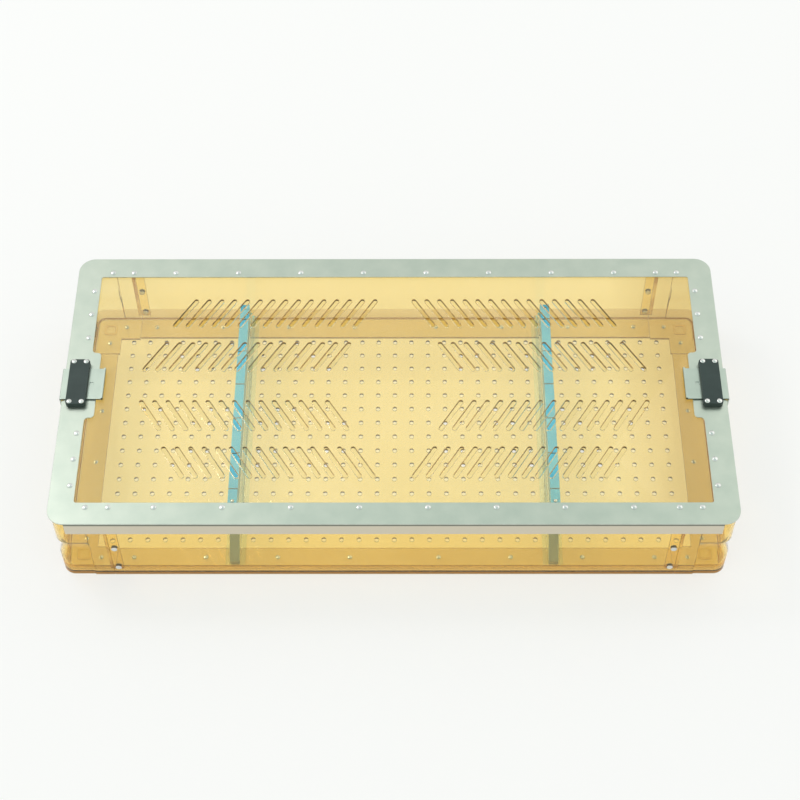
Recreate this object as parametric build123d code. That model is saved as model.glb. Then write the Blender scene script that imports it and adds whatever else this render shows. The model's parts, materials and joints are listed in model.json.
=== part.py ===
"""Sterilization box: a slotted lid on a riveted tray, held by two slide latches.

X runs along the box, Y from front to back and Z up. The origin is the middle of
the footprint on the surface that the box stands on. All sizes are millimetres.
"""
from build123d import *
import math
import os

# Lid frame: one aluminium sheet with skirts turned down on its straight sides
lid_length = 600.0
lid_depth = 298.0
frame_sheet = 1.2
frame_band = 22.3
lid_corner_radius = 15.0
opening_corner_radius = 2.0
skirt_height = 17.3
skirt_bend = 0.8
lid_clearance = 0.6

# Tray walls: moulded sheet with a floor flange turned inwards
wall = 2.5
tray_height = 87.1
tray_corner_radius = 12.0
foot_bend_radius = 6.0
foot_facets = 3
flange_width = 27.5

# Corner mouldings: legs, the trough round the corner, and the riveted tongues
corner_leg = 47.5
trough_leg = 29.9
trough_depth = 3.2
trough_bottom = 27.0
trough_floor_bottom = 37.0
trough_floor_top = 47.0
trough_top = 53.0
corner_facets = 4
tongue_length = 9.0
tongue_thickness = 2.0
tongue_clearance = 0.5
corner_flange_extra = 1.6

# Perforated floor sheet on the flanges
floor_thickness = 2.5
floor_clearance = 0.2
hole_pitch = 16.0
hole_margin = 27.0
hole_width = 4.2
boss_size = 12.5
boss_height = 0.8
boss_inset_x = 18.2
boss_inset_y = 20.2

# Slotted panel under the lid frame
panel_thickness = 2.5
panel_margin = 6.0
slot_pitch = 12.0
slots_in_row = 15
slot_width = 4.0
slot_length = 38.0
slot_angle = 58.0
inner_row_y = 33.0
outer_row_inset = 42.9
outer_row_first_x = 27.2
inner_row_shift = 24.0

# Rivets
rivet_sides = 4
lid_rivet_head = 5.4
lid_rivet_height = 1.0
lid_rivet_inset = 17.2
lid_rivet_end = 32.7
lid_rivets_each = 4
side_rivet_end = 39.7
side_rivet_pitch = 27.8
side_rivets_each = 3
tray_rivet_head = 5.5
tray_rivet_height = 1.0
wall_rivet_low = 13.0
wall_rivet_pitch = 31.0
floor_rivet_inset = 16.3
side_floor_rivet_inset = 18.7
floor_rivet_start = 40.0
floor_rivets_each = 4
floor_rivet_last = 63.5
floor_rivet_end = 33.6
side_floor_rivet_y = 29.3
side_floor_rivet_end = 36.2

# Slide latches on the short sides
latch_tab_reach = 8.4
latch_tab_half = 36.5
latch_tab_fillet = 3.5
plate_sheet = 1.5
plate_half_width = 17.1
plate_inset = 37.0
plate_lift = 0.1
plate_lip_height = 1.6
plate_lip_width = 1.8
leg_gap = 0.7
leg_drop = 29.9
leg_corner = 3.0
notch_side_gap = 0.5
notch_depth = 2.1
window_margin = 0.7
cover_inset = 4.4
cover_width = 17.9
cover_half_length = 25.2
cover_height = 5.5
cover_corner = 2.0
cover_guide_gap = 0.3
cover_ceiling_gap = 1.4
latch_lock_travel = 1.3
latch_open_travel = 4.0
stop_play = 0.2
stop_width = 4.0
stop_half_length = 4.0
latch_rivet_head = 4.6
latch_rivet_height = 0.8
latch_rivet_dx = 5.5
latch_rivet_dy = 22.4
spring_sheet = 0.4
spring_half_length = 12.0
spring_width = 2.6
spring_gap = 0.6
dimple_width = 3.4
dimple_depth = 0.6
dimple_inset = 25.2

# Strike strips on the end walls
strike_sheet = 1.0
strike_half_length = 41.0
strike_height = 11.0
strike_skirt_gap = 1.5
tooth_half_width = 7.0
tooth_height = 3.0
tooth_reach = 2.2
tooth_below_top = 2.5
strike_rivet_y = 36.0

# Instrument dividers: a blue silicone strip in a clear channel
divider_x = 142.9
divider_end_gap = 1.0
divider_height = 57.5
divider_slope = 26.0
divider_heel = 7.0
divider_shoulder = 26.0
strip_width = 9.0
channel_wall = 1.2
channel_bottom = 1.6
channel_height = 45.0
channel_flange_width = 18.0
slit_pitch = 38.5
slit_count = 6
slit_width = 0.8
slit_depth = 6.0
pin_head = 3.4
pin_height = 0.7
pin_inset = 5.0

# Values that follow from the ones above
tray_half_x = lid_length / 2 - frame_sheet - lid_clearance
tray_half_y = lid_depth / 2 - frame_sheet - lid_clearance
lid_top = tray_height + frame_sheet
skirt_bottom = lid_top - skirt_height
floor_top = wall + floor_thickness
opening_half_x = lid_length / 2 - frame_band
opening_half_y = lid_depth / 2 - frame_band
panel_half_x = lid_length / 2 - lid_rivet_inset + panel_margin
panel_half_y = lid_depth / 2 - lid_rivet_inset + panel_margin
outer_row_y = opening_half_y - outer_row_inset
floor_half_x = tray_half_x - foot_bend_radius - floor_clearance
floor_half_y = tray_half_y - foot_bend_radius - floor_clearance
divider_half = floor_half_y - divider_end_gap
strip_top_half = divider_half - divider_slope
divider_top = floor_top + divider_height
plate_inner_x = lid_length / 2 - plate_inset
plate_bottom = lid_top + plate_lift
plate_top = plate_bottom + plate_sheet
cover_outer_x = lid_length / 2 - cover_inset
cover_inner_x = cover_outer_x - cover_width
cover_mid_x = cover_outer_x - cover_width / 2
cover_ceiling = plate_top + cover_ceiling_gap
cover_top = lid_top + cover_height
leg_inner_x = lid_length / 2 + leg_gap
leg_outer_x = leg_inner_x + plate_sheet
leg_bottom = plate_top - leg_drop
strike_top = skirt_bottom - strike_skirt_gap
strike_outer_x = tray_half_x + strike_sheet
tooth_top = strike_top - tooth_below_top
tooth_bottom = tooth_top - tooth_height
tooth_tip_x = tray_half_x + tooth_reach


def block(x0, x1, y0, y1, z0, z1):
    """A box between two corners, given in any order along each axis."""
    size = (abs(x1 - x0), abs(y1 - y0), abs(z1 - z0))
    middle = Location(((x0 + x1) / 2, (y0 + y1) / 2, (z0 + z1) / 2))
    return middle * Box(*size)


def wall_section(thickness, flange, trough=False):
    """The section of a tray wall: height is up, and the outer face is at zero."""
    turns = [math.radians(90 * number / foot_facets) for number in range(foot_facets + 1)]
    outline = [(0, tray_height)]
    if trough:
        outline += [
            (0, trough_top),
            (-trough_depth, trough_floor_top),
            (-trough_depth, trough_floor_bottom),
            (0, trough_bottom),
        ]
    outline += [
        (-foot_bend_radius * (1 - math.cos(turn)), foot_bend_radius * (1 - math.sin(turn)))
        for turn in turns
    ]
    outline += [(-flange, 0), (-flange, wall)]
    if flange > foot_bend_radius:
        outline.append((-max(foot_bend_radius, thickness), wall))
    outline += [(-thickness, foot_bend_radius), (-thickness, tray_height)]
    return make_face(Polyline(*outline, close=True))


def wall_run(section, start, end, half_depth):
    """A straight wall along X from start to end, its outer face at y = -half_depth."""
    across = Plane(origin=(start, -half_depth, 0), x_dir=(0, -1, 0), z_dir=(-1, 0, 0))
    return extrude(across * section, amount=end - start, dir=(1, 0, 0))


def end_run(section, start, end, half_length):
    """A straight wall along Y from start to end, its outer face at x = half_length."""
    across = Plane(origin=(half_length, start, 0), x_dir=(1, 0, 0), z_dir=(0, -1, 0))
    return extrude(across * section, amount=end - start, dir=(0, 1, 0))


def make_corner():
    """The front right corner moulding, with a tongue behind each neighbouring wall."""
    thickness = wall + tongue_thickness
    flange = flange_width + corner_flange_extra
    joint_x = tray_half_x - corner_leg
    joint_y = tray_half_y - corner_leg
    step_x = tray_half_x - trough_leg
    step_y = tray_half_y - trough_leg
    centre_x = tray_half_x - tray_corner_radius
    centre_y = tray_half_y - tray_corner_radius
    leg_section = wall_section(thickness, flange)
    corner = wall_run(leg_section, joint_x, centre_x, tray_half_y)
    corner += end_run(leg_section, -centre_y, -joint_y, tray_half_x)
    turns = [math.radians(90 * number / corner_facets) for number in range(corner_facets + 1)]
    route = [(step_x, -tray_half_y, 0)]
    route += [
        (
            centre_x + tray_corner_radius * math.sin(turn),
            -centre_y - tray_corner_radius * math.cos(turn),
            0,
        )
        for turn in turns
    ]
    route.append((tray_half_x, -step_y, 0))
    start = Plane(origin=route[0], x_dir=(0, -1, 0), z_dir=(-1, 0, 0))
    section = start * wall_section(thickness, foot_bend_radius, trough=True)
    corner -= block(step_x, tray_half_x + 1, -tray_half_y - 1, -step_y, foot_bend_radius, tray_height)
    corner += sweep(section, Polyline(*route), transition=Transition.RIGHT)
    tongue_low = foot_bend_radius + tongue_clearance
    tongue_high = tray_height - panel_thickness - tongue_clearance
    face_y = tray_half_y - wall
    face_x = tray_half_x - wall
    corner += block(
        joint_x - tongue_length, joint_x,
        -face_y, -face_y + tongue_thickness, tongue_low, tongue_high,
    )
    corner += block(
        face_x - tongue_thickness, face_x,
        -joint_y + tongue_length, -joint_y, tongue_low, tongue_high,
    )
    return corner


def make_floor():
    """The perforated floor sheet with a square boss near each corner."""
    corner = tray_corner_radius - foot_bend_radius - floor_clearance
    outline = RectangleRounded(2 * floor_half_x, 2 * floor_half_y, corner)
    columns = 2 * int((floor_half_x - hole_margin) / hole_pitch) + 1
    rows = 2 * int((floor_half_y - hole_margin) / hole_pitch) + 1
    holes = GridLocations(hole_pitch, hole_pitch, columns, rows)
    outline -= holes * RegularPolygon(hole_width / 2, 4, rotation=45)
    floor = Pos(0, 0, wall) * extrude(outline, floor_thickness)
    boss_x = tray_half_x - boss_inset_x
    boss_y = tray_half_y - boss_inset_y
    for place in GridLocations(2 * boss_x, 2 * boss_y, 2, 2):
        boss = Pos(0, 0, floor_top + boss_height / 2) * Box(boss_size, boss_size, boss_height)
        floor += place * boss
    return floor


def make_lid_frame():
    """The lid sheet with its opening, skirts, latch tabs and the notches for the latch legs."""
    half_x = lid_length / 2
    half_y = lid_depth / 2
    window = Rectangle(2 * opening_half_x, 2 * opening_half_y)
    for side in (-1, 1):
        window -= Pos(side * opening_half_x, 0) * Rectangle(2 * latch_tab_reach, 2 * latch_tab_half)
    steps = window.vertices().filter_by_position(Axis.Y, -half_y / 2, half_y / 2)
    window = fillet(steps, latch_tab_fillet)
    corners = window.vertices().filter_by_position(Axis.Y, opening_half_y - 1, half_y)
    corners += window.vertices().filter_by_position(Axis.Y, -half_y, 1 - opening_half_y)
    window = fillet(corners, opening_corner_radius)
    outline = RectangleRounded(lid_length, lid_depth, lid_corner_radius) - window
    frame = Pos(0, 0, tray_height) * extrude(outline, frame_sheet)
    straight_x = half_x - lid_corner_radius
    straight_y = half_y - lid_corner_radius
    for side in (-1, 1):
        frame += block(
            -straight_x, straight_x, side * half_y, side * (half_y - frame_sheet),
            skirt_bottom, lid_top,
        )
        frame += block(
            side * half_x, side * (half_x - frame_sheet), -straight_y, straight_y,
            skirt_bottom, lid_top,
        )
    bends = [
        edge
        for edge in frame.edges().filter_by(Axis.X) + frame.edges().filter_by(Axis.Y)
        if abs(edge.center().Z - lid_top) < 0.01
        and (abs(abs(edge.center().X) - half_x) < 0.01 or abs(abs(edge.center().Y) - half_y) < 0.01)
    ]
    frame = chamfer(bends, min(skirt_bend, 0.9 * frame_sheet))
    notch_half = plate_half_width + notch_side_gap
    for side in (-1, 1):
        frame -= block(
            side * (half_x - notch_depth), side * (half_x + 1), -notch_half, notch_half,
            skirt_bottom - 1, lid_top + 1,
        )
    return frame


def slot_row(row_y, first_x):
    """One mirrored row of slanted slots; its slots lean towards the middle as they leave y = 0."""
    slant = slot_angle if row_y > 0 else -slot_angle
    slot = Rectangle(slot_length, slot_width)
    slots = []
    for number in range(slots_in_row):
        x = first_x + number * slot_pitch
        slots.append(Pos(-x, row_y) * Rot(0, 0, slant) * slot)
        slots.append(Pos(x, row_y) * Rot(0, 0, 180 - slant) * slot)
    return slots


def make_lid_panel():
    """The slotted panel that is riveted under the lid frame."""
    outline = Rectangle(2 * panel_half_x, 2 * panel_half_y)
    slots = []
    for side in (-1, 1):
        slots += slot_row(side * outer_row_y, outer_row_first_x)
        slots += slot_row(side * inner_row_y, outer_row_first_x + inner_row_shift)
    outline -= slots
    return Pos(0, 0, tray_height - panel_thickness) * extrude(outline, panel_thickness)


def head(x, y, z, width, height, direction=(0, 0, 1)):
    """A rivet head of few faces that stands on a surface at x, y, z."""
    seat = Plane(origin=(x, y, z), z_dir=direction)
    return extrude(seat * RegularPolygon(width / 2, rivet_sides), height)


def mirrored(values):
    """Each value and its negative."""
    return [sign * value for sign in (-1, 1) for value in values]


def lid_rivet_places():
    """Rivet centres round the lid: a wide pitch that closes up towards the corners."""
    last_x = lid_length / 2 - lid_rivet_end
    pitch = last_x / (lid_rivets_each + 0.5)
    columns = [pitch * (0.5 + number) for number in range(lid_rivets_each)]
    columns += [last_x - pitch / 3, last_x]
    last_y = lid_depth / 2 - side_rivet_end
    rows = [last_y - side_rivet_pitch * number for number in range(side_rivets_each)]
    row_y = lid_depth / 2 - lid_rivet_inset
    column_x = lid_length / 2 - lid_rivet_inset
    places = [(x, y) for x in mirrored(columns) for y in (-row_y, row_y)]
    places += [(x, y) for x in (-column_x, column_x) for y in mirrored(rows)]
    return places


def floor_rivet_places():
    """Rivet centres round the floor, on the middle of the flanges."""
    row_y = tray_half_y - floor_rivet_inset
    column_x = tray_half_x - side_floor_rivet_inset
    pitch = (tray_half_x - floor_rivet_last - floor_rivet_start) / (floor_rivets_each - 1)
    columns = [floor_rivet_start + pitch * number for number in range(floor_rivets_each)]
    columns.append(tray_half_x - floor_rivet_end)
    places = [(x, y) for x in mirrored(columns) for y in (-row_y, row_y)]
    rows = [side_floor_rivet_y, tray_half_y - side_floor_rivet_end]
    places += [(x, y) for x in (-column_x, column_x) for y in mirrored(rows)]
    return places


def make_wall_rivets():
    """Rivet heads outside and inside each joint between a wall and a corner moulding."""
    heights = (wall_rivet_low, wall_rivet_low + wall_rivet_pitch)
    joint_x = tray_half_x - corner_leg - tongue_length / 2
    joint_y = tray_half_y - corner_leg - tongue_length / 2
    size = (tray_rivet_head, tray_rivet_height)
    inner_y = tray_half_y - wall - tongue_thickness
    inner_x = tray_half_x - wall - tongue_thickness
    rivets = []
    for z in heights:
        for side in (-1, 1):
            for x in (-joint_x, joint_x):
                rivets.append(head(x, side * tray_half_y, z, *size, direction=(0, side, 0)))
                rivets.append(head(x, side * inner_y, z, *size, direction=(0, -side, 0)))
            for y in (-joint_y, joint_y):
                rivets.append(head(side * tray_half_x, y, z, *size, direction=(side, 0, 0)))
                rivets.append(head(side * inner_x, y, z, *size, direction=(-side, 0, 0)))
    return rivets


def make_latch_plate():
    """The right slide plate: flat under the cover, turned down outside the lid, with a window."""
    across = 2 * plate_half_width
    plate = block(
        plate_inner_x, leg_outer_x, -plate_half_width, plate_half_width, plate_bottom, plate_top,
    )
    leg = block(
        leg_inner_x, leg_outer_x, -plate_half_width, plate_half_width, leg_bottom, plate_top,
    )
    leg = chamfer(
        [edge for edge in leg.edges().filter_by(Axis.X) if edge.center().Z < leg_bottom + 1],
        leg_corner,
    )
    plate += leg
    plate = chamfer(
        [
            edge
            for edge in plate.edges().filter_by(Axis.Y)
            if edge.center().X > leg_outer_x - 0.01 and edge.center().Z > plate_top - 0.01
        ],
        plate_sheet / 2,
    )
    plate += block(
        plate_inner_x, plate_inner_x + plate_lip_width,
        -plate_half_width, plate_half_width, plate_top, plate_top + plate_lip_height,
    )
    plate -= block(
        leg_inner_x - 1, leg_outer_x + 1,
        -tooth_half_width - window_margin, tooth_half_width + window_margin,
        tooth_bottom - window_margin, tooth_top + window_margin,
    )
    stop_half = stop_half_length + window_margin
    plate -= block(
        cover_mid_x - stop_width / 2 - latch_open_travel - stop_play,
        cover_mid_x + stop_width / 2 + latch_lock_travel + stop_play,
        -stop_half, stop_half, plate_bottom - 1, plate_top + 1,
    )
    plate -= Pos(lid_length / 2 - dimple_inset, 0, plate_top - dimple_depth / 2) * Box(
        dimple_width, dimple_width, dimple_depth,
    )
    return plate


def make_latch_cover():
    """The right latch cover: a bridge over the slide plate with a stop that runs in its slot."""
    outline = Rectangle(cover_width, 2 * cover_half_length)
    outline = Pos(cover_mid_x, 0) * chamfer(outline.vertices(), cover_corner)
    cover = Pos(0, 0, lid_top) * extrude(outline, cover_height)
    guide_half = plate_half_width + cover_guide_gap
    cover -= block(
        cover_inner_x - 1, cover_outer_x + 1, -guide_half, guide_half, lid_top, cover_ceiling,
    )
    cover += block(
        cover_mid_x - stop_width / 2, cover_mid_x + stop_width / 2,
        -stop_half_length, stop_half_length, plate_bottom, cover_ceiling,
    )
    return cover


def make_latch_spring():
    """A leaf spring between the right cover and its slide plate, bowed down onto the plate."""
    low = plate_top + 0.05
    high = cover_ceiling - spring_sheet
    third = spring_half_length / 3
    upper = [
        (-spring_half_length, high), (-third, low), (third, low), (spring_half_length, high),
    ]
    lower = [(y, z + spring_sheet) for y, z in reversed(upper)]
    start = cover_mid_x + stop_width / 2 + spring_gap
    section = Plane(origin=(start, 0, 0), x_dir=(0, 1, 0), z_dir=(1, 0, 0))
    return extrude(section * make_face(Polyline(*upper, *lower, close=True)), spring_width)


def make_strike():
    """The right strike strip on the end wall, with the tooth that the latch window takes."""
    strip = block(
        tray_half_x, strike_outer_x, -strike_half_length, strike_half_length,
        strike_top - strike_height, strike_top,
    )
    tooth = block(
        tray_half_x, tooth_tip_x, -tooth_half_width, tooth_half_width, tooth_bottom, tooth_top,
    )
    return strip + tooth


def divider_side(low, top):
    """The long side of a divider, whose ends slope in above the heel to the shoulder."""
    right = [(divider_half, low), (divider_half, divider_heel + floor_top)]
    right.append((strip_top_half, divider_shoulder + floor_top))
    right.append((strip_top_half, top))
    left = [(-y, z) for y, z in reversed(right)]
    return make_face(Polyline(*right, *left, close=True))


def make_channel(x):
    """The clear channel of a divider, on its flange on the floor sheet."""
    outer = strip_width + 2 * channel_wall
    upright = Plane(origin=(x - outer / 2, 0, 0), x_dir=(0, 1, 0), z_dir=(1, 0, 0))
    top = floor_top + channel_height
    channel = extrude(upright * divider_side(floor_top, top), outer)
    channel += block(
        x - channel_flange_width / 2, x + channel_flange_width / 2,
        -divider_half, divider_half, floor_top, floor_top + channel_bottom,
    )
    channel -= block(
        x - strip_width / 2, x + strip_width / 2, -divider_half - 1, divider_half + 1,
        floor_top + channel_bottom, top + 1,
    )
    return channel


def make_strip(x):
    """The silicone strip of a divider, slit across its top at an even pitch."""
    upright = Plane(origin=(x - strip_width / 2, 0, 0), x_dir=(0, 1, 0), z_dir=(1, 0, 0))
    side = divider_side(floor_top + channel_bottom, divider_top)
    strip = extrude(upright * side, strip_width)
    for number in range(slit_count):
        y = (number - (slit_count - 1) / 2) * slit_pitch
        strip -= block(
            x - strip_width, x + strip_width, y - slit_width / 2, y + slit_width / 2,
            divider_top - slit_depth, divider_top + 1,
        )
    return strip


def build():
    """Every node of the box by name."""
    wall_half_x = tray_half_x - corner_leg
    wall_half_y = tray_half_y - corner_leg
    section = wall_section(wall, flange_width)
    front_wall = wall_run(section, -wall_half_x, wall_half_x, tray_half_y)
    right_wall = end_run(section, -wall_half_y, wall_half_y, tray_half_x)
    corner = make_corner()
    nodes = {
        "floor_plate": make_floor(),
        "front_wall": front_wall,
        "back_wall": mirror(front_wall, Plane.XZ),
        "right_wall": right_wall,
        "left_wall": mirror(right_wall, Plane.YZ),
        "corner_front_right": corner,
        "corner_front_left": mirror(corner, Plane.YZ),
        "corner_back_right": mirror(corner, Plane.XZ),
        "corner_back_left": mirror(mirror(corner, Plane.XZ), Plane.YZ),
        "wall_rivets": Compound(children=make_wall_rivets()),
        "floor_rivets": Compound(children=[
            head(x, y, floor_top, tray_rivet_head, tray_rivet_height)
            for x, y in floor_rivet_places()
        ]),
        "lid_frame": make_lid_frame(),
        "lid_panel": make_lid_panel(),
        "lid_rivets": Compound(children=[
            head(x, y, lid_top, lid_rivet_head, lid_rivet_height)
            for x, y in lid_rivet_places()
        ]),
    }
    latch_parts = {
        "latch_plate": make_latch_plate(),
        "latch_cover": make_latch_cover(),
        "latch_spring": make_latch_spring(),
        "strike": make_strike(),
        "latch_rivets": Compound(children=[
            head(cover_mid_x + dx, dy, cover_top, latch_rivet_head, latch_rivet_height)
            for dx in (-latch_rivet_dx, latch_rivet_dx)
            for dy in (-latch_rivet_dy, latch_rivet_dy)
        ]),
        "strike_rivets": Compound(children=[
            head(
                strike_outer_x, y, strike_top - strike_height / 2,
                tray_rivet_head, tray_rivet_height, direction=(1, 0, 0),
            )
            for y in (-strike_rivet_y, strike_rivet_y)
        ]),
    }
    for name, shape in latch_parts.items():
        nodes[name + "_right"] = shape
        nodes[name + "_left"] = mirror(shape, Plane.YZ)
    pins = []
    for side, x in (("left", -divider_x), ("right", divider_x)):
        nodes["divider_channel_" + side] = make_channel(x)
        nodes["divider_strip_" + side] = make_strip(x)
        for y in (pin_inset - strip_top_half, strip_top_half - pin_inset):
            pins.append(head(x, y, divider_top, pin_head, pin_height))
    nodes["divider_pins"] = Compound(children=pins)
    return nodes


os.makedirs("parts", exist_ok=True)
for name, shape in build().items():
    export_step(shape, os.path.join("parts", name + ".step"))
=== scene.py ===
# Sterilization box: amber tray and lid panel, satin sheet frame, slide latches, blue dividers
import json
import math
import bmesh
import bpy
from mathutils import Matrix, Vector
from mathutils.geometry import delaunay_2d_cdt

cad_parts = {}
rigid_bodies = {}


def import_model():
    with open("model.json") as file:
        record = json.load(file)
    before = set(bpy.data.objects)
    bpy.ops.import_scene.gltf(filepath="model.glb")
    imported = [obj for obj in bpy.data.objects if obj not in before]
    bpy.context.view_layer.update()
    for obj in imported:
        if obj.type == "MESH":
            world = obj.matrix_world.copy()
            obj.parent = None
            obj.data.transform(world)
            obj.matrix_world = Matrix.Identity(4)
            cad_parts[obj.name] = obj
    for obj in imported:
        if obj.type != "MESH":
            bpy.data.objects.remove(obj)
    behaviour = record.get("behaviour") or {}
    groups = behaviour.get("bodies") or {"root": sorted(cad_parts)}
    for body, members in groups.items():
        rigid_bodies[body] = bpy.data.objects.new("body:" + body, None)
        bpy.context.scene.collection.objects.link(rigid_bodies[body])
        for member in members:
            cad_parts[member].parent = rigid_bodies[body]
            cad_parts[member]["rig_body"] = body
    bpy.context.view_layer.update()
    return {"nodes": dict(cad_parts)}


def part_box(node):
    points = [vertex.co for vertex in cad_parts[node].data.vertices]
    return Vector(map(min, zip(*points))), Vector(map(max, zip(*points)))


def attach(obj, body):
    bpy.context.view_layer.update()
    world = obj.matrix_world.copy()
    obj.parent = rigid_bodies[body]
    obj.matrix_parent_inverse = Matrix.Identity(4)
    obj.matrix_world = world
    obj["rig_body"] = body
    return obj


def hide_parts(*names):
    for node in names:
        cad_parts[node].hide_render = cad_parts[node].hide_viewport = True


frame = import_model()
mm = 0.001  # sizes below are in millimetres
mergeDistance = 0.002 * mm
print("frame loaded:", len(frame["nodes"]), "nodes")


# Outlines, as lists of 2D points in millimetres

def circleOutline(x, y, radius, steps):
    turns = [2 * math.pi * step / steps for step in range(steps)]
    return [(x + radius * math.cos(turn), y + radius * math.sin(turn)) for turn in turns]


def roundedOutline(corners, steps=6):
    # each corner is x, y and its radius
    points = []
    for number, (x, y, radius) in enumerate(corners):
        here = Vector((x, y))
        toLast = (Vector(corners[number - 1][:2]) - here).normalized()
        toNext = (Vector(corners[(number + 1) % len(corners)][:2]) - here).normalized()
        if radius == 0:
            points.append((x, y))
            continue
        half = toLast.angle(toNext) / 2
        centre = here + (toLast + toNext).normalized() * (radius / math.sin(half))
        start = here + toLast * (radius / math.tan(half)) - centre
        end = here + toNext * (radius / math.tan(half)) - centre
        turn = math.atan2(start.x * end.y - start.y * end.x, start.dot(end))
        for step in range(steps + 1):
            spoke = Matrix.Rotation(turn * step / steps, 2) @ start
            points.append(tuple(centre + spoke))
    return points


def rectangleOutline(halfX, halfY, radius, middle=(0, 0), steps=6):
    x, y = middle
    return roundedOutline([
        (x - halfX, y - halfY, radius), (x + halfX, y - halfY, radius),
        (x + halfX, y + halfY, radius), (x - halfX, y + halfY, radius),
    ], steps)


def slotOutline(x, y, length, width, angle, steps=7):
    along = Vector((math.cos(angle), math.sin(angle)))
    straight = (length - width) / 2
    points = []
    for end in (0, 1):
        centre = Vector((x, y)) + along * (straight if end == 0 else -straight)
        for step in range(steps + 1):
            turn = angle - math.pi / 2 + math.pi * (end + step / steps)
            across = width / 2 * math.cos(turn)
            up = width / 2 * math.sin(turn)
            points.append((centre.x + across, centre.y + up))
    return points


def turnedTo(loop, counterClockwise):
    area = sum(a[0] * b[1] - b[0] * a[1] for a, b in zip(loop, loop[1:] + loop[:1]))
    return loop if (area > 0) == counterClockwise else loop[::-1]


def movedInward(loop, distance):
    # the material lies left of the loop's direction
    moved = []
    for number, point in enumerate(loop):
        here = Vector(point)
        arriving = (here - Vector(loop[number - 1])).normalized()
        leaving = (Vector(loop[(number + 1) % len(loop)]) - here).normalized()
        left = Vector((-arriving.y - leaving.y, arriving.x + leaving.x))
        reach = distance / max(0.3, left.length / 2)
        moved.append(tuple(here + left.normalized() * reach))
    return moved


def isInside(point, loop):
    inside = False
    for (x0, y0), (x1, y1) in zip(loop, loop[1:] + loop[:1]):
        crosses = (y0 > point.y) != (y1 > point.y)
        if crosses and point.x < x0 + (x1 - x0) * (point.y - y0) / (y1 - y0):
            inside = not inside
    return inside


# Solids, added to a bmesh in metres

def filledBetween(loops):
    # triangles between the first loop and the others, which are holes
    flat, sides, owners = [], [], []
    for number, loop in enumerate(loops):
        start = len(flat)
        flat += [Vector(point) for point in loop]
        sides += [(start + n, start + (n + 1) % len(loop)) for n in range(len(loop))]
        owners += [number] * len(loop)
    points, _, triangles, _, _, _ = delaunay_2d_cdt(flat, sides, [], 1, 1e-6)
    kept = []
    for triangle in triangles:
        owner = owners[triangle[0]]
        if all(owners[n] == owner for n in triangle):
            middle = (points[triangle[0]] + points[triangle[1]] + points[triangle[2]]) / 3
            if isInside(middle, loops[owner]) != (owner == 0):
                continue
        kept.append(triangle)
    return points, kept


def joinRows(work, rows):
    # faces between closed rows of vertices of equal count
    for lower, upper in zip(rows, rows[1:]):
        for n in range(len(lower)):
            after = (n + 1) % len(lower)
            work.faces.new((lower[n], lower[after], upper[after], upper[n]))


def addSheet(work, outer, holes, low, high, edge):
    # a flat sheet with holes, its edges broken by a small chamfer
    loops = [turnedTo(outer, True)] + [turnedTo(hole, False) for hole in holes]
    points, faces = filledBetween([movedInward(loop, edge) for loop in loops])
    caps = []
    for height in (low, high):
        verts = [work.verts.new((p.x * mm, p.y * mm, height * mm)) for p in points]
        caps.append(verts)
        for face in faces:
            order = face if height == high else face[::-1]
            work.faces.new([verts[number] for number in order])
    start = 0
    for loop in loops:
        count = len(loop)
        rims = [caps[0][start:start + count]]
        for height in (low + edge, high - edge):
            rims.append([work.verts.new((x * mm, y * mm, height * mm)) for x, y in loop])
        rims.append(caps[1][start:start + count])
        joinRows(work, rims)
        start += count


def addLoft(work, rings):
    # closed sections of equal count, joined in order and capped at both ends
    rows = [[work.verts.new([value * mm for value in point]) for point in ring] for ring in rings]
    joinRows(work, rows)
    work.faces.new(rows[0][::-1])
    work.faces.new(rows[-1])


def addDome(work, centre, normal, width, height, rings=4, steps=16, rim=0.25):
    # a rivet head: a short rim, as a share of the height, under a low dome
    across = normal.orthogonal().normalized()
    beside = normal.cross(across)
    rows = []
    levels = [(1.0, 0.0), (1.0, rim)]
    for ring in range(1, rings):
        turn = math.pi / 2 * ring / rings
        levels.append((math.cos(turn), rim + (1 - rim) * math.sin(turn)))
    for share, rise in levels:
        row = []
        for step in range(steps):
            turn = 2 * math.pi * step / steps
            spoke = across * math.cos(turn) + beside * math.sin(turn)
            point = centre + spoke * share * width / 2 + normal * height * rise
            row.append(work.verts.new(point * mm))
        rows.append(row)
    joinRows(work, rows)
    top = work.verts.new((centre + normal * height) * mm)
    for n in range(steps):
        work.faces.new((rows[-1][n], rows[-1][(n + 1) % steps], top))
    work.faces.new(rows[0][::-1])


def makePiece(name, work, material, node, sharpAngle=35, creaseHeight=None):
    # turns a bmesh into a piece that stands for a CAD node and rides on its body
    bmesh.ops.remove_doubles(work, verts=work.verts, dist=mergeDistance)
    bmesh.ops.recalc_face_normals(work, faces=work.faces)
    for face in work.faces:
        face.smooth = True
    for edge in work.edges:
        if len(edge.link_faces) == 2:
            edge.smooth = edge.calc_face_angle(0) < math.radians(sharpAngle)
            heights = [vert.co.z / mm for vert in edge.verts]
            if creaseHeight and all(abs(height - creaseHeight) < 0.02 for height in heights):
                edge.smooth = False
    mesh = bpy.data.meshes.new(name)
    work.to_mesh(mesh)
    work.free()
    piece = bpy.data.objects.new(name, mesh)
    bpy.context.scene.collection.objects.link(piece)
    mesh.materials.append(material)
    even = piece.modifiers.new("evenNormals", "WEIGHTED_NORMAL")
    even.keep_sharp = True
    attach(piece, frame["nodes"][node]["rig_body"])
    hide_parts(node)


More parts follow.
